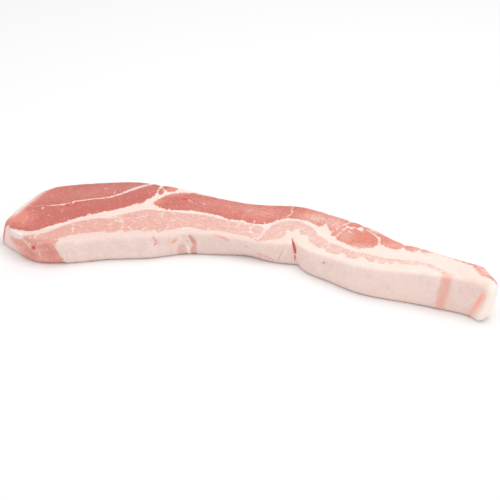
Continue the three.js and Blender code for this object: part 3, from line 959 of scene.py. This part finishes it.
CUT_FACE_CRUMBS = [
    (0.3, 0.6, (-84.3, -3.6)),
    (0.3, 0.7, (-90.4, -8.8), (-75.1, 25.2)),
    (0.3, 0.8, (-85.6, -4.6), (-78.3, 23)),
    (0.3, 0.9, (-86.8, -6)),
    (0.35, 0.7, (-38.4, 19.9)),
    (0.35, 0.8, (-74.8, 33.4)),
    (0.35, 0.9, (-77.4, 25.4), (-75.6, 30.4)),
    (0.35, 1, (-76.6, 28)),
    (0.4, 0.8, (-72.6, 32), (-41, 22.4)),
    (0.4, 1.2, [(-88.6, -6.6), (-87.4, -5.6)]),
    (0.5, 0.6, (-26.4, -4)),
    (0.5, 0.9, [(-30.2, -3.9), (-28.6, -3.6)]),
    (0.55, 0.8, (-101.2, -36.9)),
    (0.55, 0.95, [(-106, -34.4), (-106.6, -36), (-105.6, -37.7)]),
    (0.6, 1, [(-33.2, -3.6), (-31.2, -3.2)]),
    (0.7, 1, [(-35.8, -5.6), (-34.1, -3.8)]),
    (1.2, 0.65, [(-122.4, -32.6), (-119.5, -33.6)]),
    (1.3, 0.75, [(-118, -34), (-114.6, -35.2)]),
]
UPPER_FACE_FROM = 0.9

blood = np.maximum(strokes(through, SPOTS), on_side(strokes(from_side, [SPOT_IN_SIDE])))
crumbs = np.maximum(crumbs, strokes(through, CUT_FACE_CRUMBS) * (height > UPPER_FACE_FROM))
print("spots:", count_drawn(SPOTS) + 1, "crumbs on the cut face:", count_drawn(CUT_FACE_CRUMBS))

# %% [markdown]
# ## Relief
# Cut meat isn't flat. Each muscle bulges a little out of the cut, the seams between them sink, bundles
# stand up like small pillows, and the trimmed fat has a faint ripple. This relief is real geometry, so
# it shows in the light and in the outline; only what is finer than the squares is left to the bump.

# %% Skin mesh
TURNS_UPWARD = (0.4, 0.92)
ROUGHNESS_FALL = 1.0
FINER_EACH_TIME = 2.0

mesh = bpy.data.meshes.new("pork_belly_slice")
mesh.from_pydata((skin * MM).tolist(), [], faces)
mesh.validate()
normals = np.empty(len(skin) * 3, np.float32)
mesh.vertex_normals.foreach_get("vector", normals)
normals = normals.reshape(-1, 3)
sideways = eased(normals[:, 2], TURNS_UPWARD, 1, 0)


def unevenness(size, octaves):
    """Soft bumps about this many millimetres wide, between -1 and 1, the same on every run."""
    how = ROUGHNESS_FALL, FINER_EACH_TIME, octaves
    return np.array([noise.fractal(Vector(place), *how) for place in (skin / size).tolist()])


print("points that face sideways:", int((sideways > 0.5).sum()))

# %% Relief
MUSCLE_BULGE = 0.3
MUSCLE_SHOULDER = (0, 2.5)
LAYER_BULGE = 0.15
LAYER_SHOULDER = (0, 1.5)
SEAM_DIP = 0.25
NET_DIP = 0.12
NET_EDGE = (0, 1)
FAT_START_STEP = 0.6
FAT_START_EDGE = (-0.2, 0.5)
FAT_STARTS_AT = (-98, -96)
FAT_STEP_FADES_AT = (-92, -70)
TRIMMED_DIP = 0.35
CREASE_DIP = 0.35
GROOVE_DIP = 0.15
LIP_RISE = 0.2
WAVES = ((14, 2, 0.15), (3.2, 3, 0.09))
WAVES_UNDERNEATH = 0.3

facing_up = 1 - sideways
rise = eased(muscle, MUSCLE_SHOULDER, 0, MUSCLE_BULGE) * facing_up
rise += eased(layer, LAYER_SHOULDER, 0, LAYER_BULGE) * facing_up
rise -= SEAM_DIP * seam + NET_DIP * net * eased(layer, NET_EDGE)
fat_step = eased(-bared_depth, FAT_START_EDGE) * eased(x, FAT_STARTS_AT) * eased(x, FAT_STEP_FADES_AT, 1, 0)
rise += FAT_START_STEP * on_side(below_rim * fat_step)
rise -= TRIMMED_DIP * np.clip(trimmed, 0, 1) + CREASE_DIP * crease + GROOVE_DIP * groove
rise += LIP_RISE * on_side(lip)
for size, octaves, amount in WAVES:
    rise += amount * unevenness(size, octaves) * np.where(height > 0, 1, WAVES_UNDERNEATH)
skin += normals * rise[:, None]
skin[:, 2] = np.maximum(skin[:, 2], 0)
print("relief from", round(float(rise.min()), 2), "to", round(float(rise.max()), 2), "mm")

# %% [markdown]
# ## The piece
# The mesh gets its final places, smooth shading and one set of numbers for each thing the finish has to
# know. Attributes like these travel with the mesh, so no picture is needed. First come the two ends and
# the rib side: the thick end is lean below its rim, and a thin film of connective tissue covers it and
# the rib side. The thin end is cut bare, apart from its rib corner.

# %% Film
NEAR_THICK_END = (0, 0.04)
FILM_LEFT_AT_THICK_END = 0.7
NEAR_THIN_END = (0.95, 1)
FILM_LEFT_AT_THIN_END = 0.5
FILM_ON_RIM = 0.4
FILM_RIM_WALL = (0.2, 0.6)
FILM_RIM_HEIGHT = (0.6, 0.9)
THICK_END_FILM = 1.25
THICK_END_FILM_STARTS_AT = (0.14, 0.34)
THICK_END_FILM_THINS_AT = (0.5, 0.75)
FILM_LEFT_TOWARDS_RIBS = 0.6
THICK_END_FILM_RIM = (0.45, 0.95)
THIN_END_FILM = 0.5
THIN_END_FILM_STARTS_AT = (0.55, 1)
END_LEAN_DEPTH = 2
END_LEAN_STARTS_AT = (0.04, 0.08)
END_LEAN_RIM = (0.6, 0.95)

rib_film = sideways * eased(along, NEAR_THIN_END, 1, FILM_LEFT_AT_THIN_END)
rib_film *= eased(along, NEAR_THICK_END, FILM_LEFT_AT_THICK_END, 1)
rim_film = FILM_ON_RIM * eased(wall, FILM_RIM_WALL, 1, 0) * eased(height, FILM_RIM_HEIGHT)
thick_end_film = eased(across, THICK_END_FILM_STARTS_AT) * eased(wall, THICK_END_FILM_RIM, THICK_END_FILM, 0)
thick_end_film *= eased(across, THICK_END_FILM_THINS_AT, 1, FILM_LEFT_TOWARDS_RIBS)
thin_end_film = eased(across, THIN_END_FILM_STARTS_AT, 0, THIN_END_FILM) * sideways
film = np.where(across == 1, np.maximum(rib_film, rim_film), 0)
film = np.where(along == 1, thin_end_film, film) * (wall < 1)
film = np.where(along == 0, thick_end_film, film)
end_lean = eased(across, END_LEAN_STARTS_AT) * eased(wall, END_LEAN_RIM, 1, 0)
end_lean = END_LEAN_DEPTH * (2 * end_lean - 1)
muscle = np.where(along == 0, np.maximum(muscle, end_lean), muscle)
print("points under film:", int((film > 0.5).sum()))

# %% Fields
SLICE_LENGTH = 264
BAND_EDGE = (9, 12)
BAND_FADES_AT = (-10, 40)
BARED_EDGE = (-0.5, 0.5)

from_fat_side = across * width
fields = dict(
    muscle=muscle, layer=layer, tone=tone, marbled=marbled, blush=blush, painted_side_shade=painted_side_shade, seam=seam, net=net,
    vein=vein, orange=orange, crumbs=crumbs, blood=blood, crease=crease, trimmed=trimmed, stripe=stripe,
    groove=groove, lip=lip, tip=tip, film=film, sideways=sideways,
    bared=below_rim * eased(bared_depth, BARED_EDGE),
    fat_band=eased(from_fat_side, BAND_EDGE, 1, 0) * eased(x, BAND_FADES_AT, 1, 0),
)


def keep(name, values, kind="FLOAT"):
    numbers = mesh.attributes.new(name, kind, "POINT")
    key = "value" if kind == "FLOAT" else "vector"
    numbers.data.foreach_set(key, np.asarray(values, np.float32).ravel())


mesh.vertices.foreach_set("co", (skin * MM).astype(np.float32).ravel())
mesh.shade_smooth()
keep("flow", np.column_stack([along * SLICE_LENGTH, from_fat_side, z]), "FLOAT_VECTOR")
for name, values in fields.items():
    keep(name, values)
print("fields kept on the mesh:", len(fields) + 1)

# %% Piece
pork = bpy.data.objects.new("pork_belly_slice", mesh)
scene.collection.objects.link(pork)
print("piece:", len(mesh.vertices), "points,", len(mesh.polygons), "faces")

# %% [markdown]
# ## Writing a finish as sums
# A finish is a tree of nodes. Wiring them one by one hides what is being worked out, so a small class
# stands for a wire: adding, subtracting or multiplying two wires makes the Math node that does it, and so
# does a plain number on either side. Every other node comes from one method, which sets the node up
# first and then joins its sockets.

# %% Wires
class Wire:
    """A value on its way through a finish."""

    def __init__(self, finish, socket):
        self.finish = finish
        self.socket = socket

    def math(self, operation, first, second):
        return self.finish.node("ShaderNodeMath", {0: first, 1: second}, operation=operation)

    def __add__(self, other):
        return self.math("ADD", self, other)

    def __sub__(self, other):
        return self.math("SUBTRACT", self, other)

    def __rsub__(self, other):
        return self.math("SUBTRACT", other, self)

    def __mul__(self, other):
        return self.math("MULTIPLY", self, other)

    __radd__ = __add__
    __rmul__ = __mul__

    def at_most(self, limit):
        return self.math("MINIMUM", self, limit)


print("a wire's own methods:", [name for name in vars(Wire) if not name.startswith("__")])

# %% Finish
MIX_COLOUR_A, MIX_COLOUR_B, MIX_COLOUR_RESULT = 6, 7, 2
CLOUD_ROUGHNESS = 0.55
CLOUD_MIDDLE = 0.5
CLOUD_GAIN = 4


class Finish:
    """A material whose nodes are all made by one method."""

    def __init__(self, name):
        self.material = bpy.data.materials.new(name)
        self.material.use_nodes = True
        self.tree = self.material.node_tree
        self.shader = self.tree.nodes["Principled BSDF"]

    def join(self, socket, value):
        if isinstance(value, Wire):
            self.tree.links.new(value.socket, socket)
        else:
            socket.default_value = value

    def node(self, kind, sockets, output=0, **settings):
        made = self.tree.nodes.new(kind)
        for name, value in settings.items():
            setattr(made, name, value)
        for name, value in sockets.items():
            self.join(made.inputs[name], value)
        return Wire(self, made.outputs[output])

    def field(self, name, output="Fac"):
        return self.node("ShaderNodeAttribute", {}, output=output, attribute_name=name)

    def stretched(self, vector, factors):
        return self.node("ShaderNodeVectorMath", {0: vector, 1: factors}, operation="MULTIPLY")

    def moved(self, vector, shift):
        return self.node("ShaderNodeVectorMath", {0: vector, 1: shift}, operation="ADD")

    def cloud(self, vector, size, detail=2.0):
        """Soft noise around 0, mostly within -1 and 1, with spots of this many millimetres."""
        sockets = {"Vector": vector, "Scale": 1 / size, "Detail": detail, "Roughness": CLOUD_ROUGHNESS}
        return (self.node("ShaderNodeTexNoise", sockets) - CLOUD_MIDDLE) * CLOUD_GAIN

    def ramp(self, value, low, high):
        sockets = {"Value": value, "From Min": low, "From Max": high}
        return self.node("ShaderNodeMapRange", sockets, interpolation_type="SMOOTHSTEP")

    def mix(self, share, first, second):
        sockets = {0: share, MIX_COLOUR_A: first, MIX_COLOUR_B: second}
        return self.node("ShaderNodeMix", sockets, output=MIX_COLOUR_RESULT, data_type="RGBA")


raw = Finish("raw_pork_belly")
print("nodes in a new finish:", len(raw.tree.nodes))


# %% Colours
def colour(red, green, blue):
    """A colour given as it looks on screen, from 0 to 255, turned into the light it reflects."""
    screen = [value / 255 for value in (red, green, blue)]
    light = [value / 12.92 if value <= 0.04045 else ((value + 0.055) / 1.055) ** 2.4 for value in screen]
    return (*light, 1)


print("light that a middle grey reflects:", round(colour(128, 128, 128)[0], 2))

# %% [markdown]
# ## The raw pork finish
# One finish covers the whole slice, because fat and lean grow into each other. Its places are measured
# in millimetres. The fields kept on the mesh say how deep a place lies in a muscle or in the pale layer,
# and a little noise frays each edge the way fibres do.

# %% Places and noises
ALONG_FIBRES = (0.3, 1.2, 1.2)
FRAYED_EDGE = (-0.3, 0.35)

at = raw.stretched(raw.node("ShaderNodeTexCoord", {}, output="Object"), (1 / MM, 1 / MM, 1 / MM))
flow_at = raw.field("flow", output="Vector")
fray = raw.cloud(at, 1.7, 3.0)
fine_fray = raw.cloud(at, 0.7, 2.0)
blotch = raw.cloud(at, 7.0, 2.0)
mottle = raw.cloud(at, 2.4, 3.0)
speckle = raw.cloud(at, 0.9, 3.0)
streak = raw.cloud(raw.stretched(flow_at, ALONG_FIBRES), 1.2, 3.0)
ragged = 0.75 * fray + 0.65 * fine_fray
print("nodes for places and noises:", len(raw.tree.nodes))

# %% [markdown]
# ### Fat
# Fat on the cut face is warm and creamy, and it blushes where it lies against lean. On the trimmed
# outer side, and in a band along it towards the thick end, it is a little greyer and pinker, and on the
# side shade is painted darker at the undercut waist. The lip at the thin end is the whitest: partly its
# own colour and partly painted light, where the lip faces the lamp at the thin end.

# %% Fat colour
CREAM = colour(247, 229, 219)
CREAM_WARM = colour(244, 222, 211)
BLUSH = colour(240, 200, 187)
SIDE_FAT = colour(245, 220, 211)
SIDE_FAT_GREY_AND_SHADE = colour(235, 209, 202)
BAND_FAT = colour(238, 211, 202)
# The lip's fat is near white: partly its own pale colour and partly painted light where the lip faces the
# lamp at the thin end.
LIP_FAT_AND_PAINTED_LIGHT = colour(252, 236, 227)
NEAR_MUSCLE = (-1.6, 0.2)
NEAR_LAYER = (-1.2, 0.2)

near_lean = raw.ramp(raw.field("muscle"), *NEAR_MUSCLE) + raw.ramp(raw.field("layer"), *NEAR_LAYER)
cream = raw.mix(0.5 + 0.45 * blotch + 0.6 * speckle, CREAM, CREAM_WARM)
cream = raw.mix(raw.field("fat_band") + 0.25 * mottle + 0.25 * speckle, cream, BAND_FAT)
# The side fat greys with its own mottling and with the painted shade of the fat side.
greyness_and_painted_shade = 0.5 + raw.field("painted_side_shade") + 0.5 * blotch + 0.45 * mottle + 0.7 * speckle
side_fat = raw.mix(greyness_and_painted_shade, SIDE_FAT, SIDE_FAT_GREY_AND_SHADE)
side_fat = raw.mix(raw.ramp(raw.cloud(at, 1.6, 2.0), 0.8, 1.5) * 0.3, side_fat, BLUSH)
fat = raw.mix(raw.field("sideways"), cream, side_fat)
blush_share = raw.field("blush") * (1 - 0.6 * raw.field("sideways"))
fat = raw.mix(blush_share + 0.08 * near_lean + 0.1 * mottle, fat, BLUSH)
fat = raw.mix(raw.field("lip"), fat, LIP_FAT_AND_PAINTED_LIGHT)
print("nodes once fat is done:", len(raw.tree.nodes))

# %% [markdown]
# ### Pale layer
# The lean under the rind fat is finely laced with fat, so it is pale. A net of pale threads parts its
# bundles, and tiny dots of fat show all over it. The net is a Voronoi pattern of cells stretched along
# the slice; a little noise added to its place keeps the cells from looking like tiles. Where the knife
# bared it in the side, it is darker and has no net.

# %% Pale layer colour
LAYER_DEEP = colour(226, 160, 147)
LAYER_PALE = colour(238, 203, 192)
THREAD = colour(246, 222, 211)
BARED = colour(236, 170, 156)
BARED_DEEP = colour(222, 147, 133)
PALE_AT_MIDDLE = 0.54
PALER_PER_MM = 0.0044
PALEST_AT = 36
CELL_STRETCH = (0.15, 0.26, 0.15)
CELL_WOBBLE = (0.9, 0.9, 0.9)
CELL_EDGE = (0.02, 0.13)

layer_share = raw.ramp(raw.field("layer") + ragged, *FRAYED_EDGE)
x_at = raw.node("ShaderNodeSeparateXYZ", {0: at}, output="X")
pale = x_at.at_most(PALEST_AT) * PALER_PER_MM + PALE_AT_MIDDLE
pale = pale + 0.12 * blotch + 0.26 * mottle + 0.3 * speckle + 0.12 * streak
lean_pale = raw.mix(pale, LAYER_DEEP, LAYER_PALE)
wobble = raw.node("ShaderNodeTexNoise", {"Vector": at, "Scale": 0.4, "Detail": 2.0}, output="Color")
cell_place = raw.moved(raw.stretched(flow_at, CELL_STRETCH), raw.stretched(wobble, CELL_WOBBLE))
cell_sockets = {"Vector": cell_place, "Scale": 1.0}
cells = raw.node("ShaderNodeTexVoronoi", cell_sockets, output="Distance", feature="DISTANCE_TO_EDGE")
loose_net = (1 - raw.ramp(cells, *CELL_EDGE)) * (0.4 + 0.4 * mottle)
dots = raw.ramp(raw.cloud(at, 0.9, 1.0), 0.35, 0.9) * (0.3 + 0.8 * pale)
threads = raw.ramp(1.2 * raw.field("net") + loose_net + dots + 0.2 * fray, 0.2, 1.25)
lean_pale = raw.mix(threads, lean_pale, THREAD)
lean_bared = raw.mix(0.4 + 0.4 * blotch + 0.5 * mottle + 0.4 * fray + 0.3 * speckle, BARED_DEEP, BARED)
lean_pale = raw.mix(raw.field("bared") * 0.9, lean_pale, lean_bared)
print("nodes once the pale layer is done:", len(raw.tree.nodes))

# %% [markdown]
# ### Muscle
# The muscles run from deep rose to a warm light orange. Fibres make faint streaks that follow the
# slice, and marbling leaves small pale flecks. The seams go on last, with edges that the noise frays.

# %% Muscle colour
ROSE = colour(195, 102, 92)
SALMON = colour(227, 137, 119)
MARBLING = colour(243, 207, 194)
FLECK_STRETCH = (0.8, 1.0, 1.0)

muscle_share = raw.ramp(raw.field("muscle") + ragged, *FRAYED_EDGE)
muscle_tone = raw.field("tone") + 0.18 * blotch + 0.25 * streak + 0.3 * mottle + 0.65 * speckle
lean = raw.mix(muscle_tone, ROSE, SALMON)
fleck_noise = raw.cloud(raw.stretched(flow_at, FLECK_STRETCH), 0.9, 2.0)
flecks = raw.ramp(fleck_noise + 0.9 * raw.field("marbled"), 0.6, 1.2)
lean = raw.mix(0.6 * flecks + 0.38 * raw.field("marbled"), lean, MARBLING)
seams = raw.ramp(raw.field("seam") * (1 + 0.6 * fray + 0.6 * fine_fray), 0.15, 0.85)
lean = raw.mix(seams, lean, THREAD)
print("nodes once muscle is done:", len(raw.tree.nodes))

# %% [markdown]
# ### Marks
# Everything else goes on like stains, one over the other. Lean goes over fat, and the thin film goes
# over both. Then come the white tip, the trimmed patch, the stripe, the groove, streaks and veins, and
# crumbs of fat and blood lie on top. One loop over a list keeps that order easy to read and to change.

# %% Marks
BLOOD = colour(186, 66, 44)
FRESH_BLOOD = colour(212, 82, 74)
CREASE_BLOOD = colour(213, 88, 70)
VEIN_PINK = colour(214, 128, 116)
ORANGE_STAIN = colour(240, 162, 142)
TRIMMED = colour(219, 148, 134)
STRIPE_PINK = colour(237, 177, 162)
GROOVE_ORANGE = colour(255, 176, 154)
FILM = colour(244, 219, 210)
TIP_FILM = colour(249, 215, 204)
CRUMB = colour(250, 236, 228)
DOWN_THE_STRIPE = (1.2, 1.0, 0.1)

stripe_streak = raw.cloud(raw.stretched(at, DOWN_THE_STRIPE), 1.0, 2.0)
blood_there = raw.field("blood") * (1 + 0.15 * fine_fray)
blood_colour = raw.mix(raw.ramp(blood_there, 0.6, 1.0), FRESH_BLOOD, BLOOD)
stains = [
    (layer_share, lean_pale),
    (muscle_share, lean),
    (raw.field("film") * (0.78 + 0.14 * streak + 0.16 * blotch), FILM),
    (raw.field("tip") * (0.9 + 0.3 * fray), TIP_FILM),
    (raw.field("trimmed") * (0.85 + 0.2 * fine_fray + 0.15 * speckle), TRIMMED),
    (raw.field("stripe") * (0.85 + 0.3 * stripe_streak + 0.15 * speckle), STRIPE_PINK),
    (raw.field("groove") * 0.95, GROOVE_ORANGE),
    (raw.field("orange") * (1 + 0.2 * fine_fray), ORANGE_STAIN),
    (raw.ramp(raw.field("vein") + 0.1 * fine_fray, 0.05, 0.95), VEIN_PINK),
    (raw.ramp(raw.field("crumbs") * (1 + 0.6 * fine_fray), 0.2, 0.9), CRUMB),
    (raw.ramp(blood_there, 0.08, 0.55) * 0.9, blood_colour),
    (raw.ramp(raw.field("crease") * (1 + 0.5 * speckle), 0.15, 0.62) * 0.96, CREASE_BLOOD),
]
surface = fat
for share, stain in stains:
    surface = raw.mix(share, surface, stain)
raw.join(raw.shader.inputs["Base Color"], surface)
print("stains over the fat:", len(stains))

# %% [markdown]
# ### Moisture
# A cut face is moist, not wet: a soft sheen, smoother on lean than on fat, with a thin clear coat. A
# little light passes through the surface, and a fine bump breaks the sheen up.

# %% Moisture
MOIST = {
    "Coat Weight": 0.12,
    "Coat Roughness": 0.25,
    "Specular IOR Level": 0.35,
    "Subsurface Weight": 0.2,
    "Subsurface Radius": (1.0, 0.4, 0.25),
    "Subsurface Scale": 0.0006,
}
FAT_ROUGHNESS = 0.52
SMOOTHER_ON_LEAN = 0.08
ROUGHNESS_SPECKLE = 0.08
GRAIN_STRENGTH = 0.5
GRAIN_DEPTH = 0.0003

for name, value in MOIST.items():
    raw.shader.inputs[name].default_value = value
roughness = FAT_ROUGHNESS - SMOOTHER_ON_LEAN * muscle_share + ROUGHNESS_SPECKLE * speckle
raw.join(raw.shader.inputs["Roughness"], roughness)
grain = 0.3 * speckle + 0.2 * streak + 0.2 * fine_fray
bump_sockets = {"Height": grain, "Strength": GRAIN_STRENGTH, "Distance": GRAIN_DEPTH}
raw.join(raw.shader.inputs["Normal"], raw.node("ShaderNodeBump", bump_sockets, output="Normal"))
mesh.materials.append(raw.material)
print("finish nodes:", len(raw.tree.nodes))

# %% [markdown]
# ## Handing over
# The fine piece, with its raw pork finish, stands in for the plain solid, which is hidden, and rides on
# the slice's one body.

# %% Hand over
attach(pork, "root")
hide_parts("pork_slice")
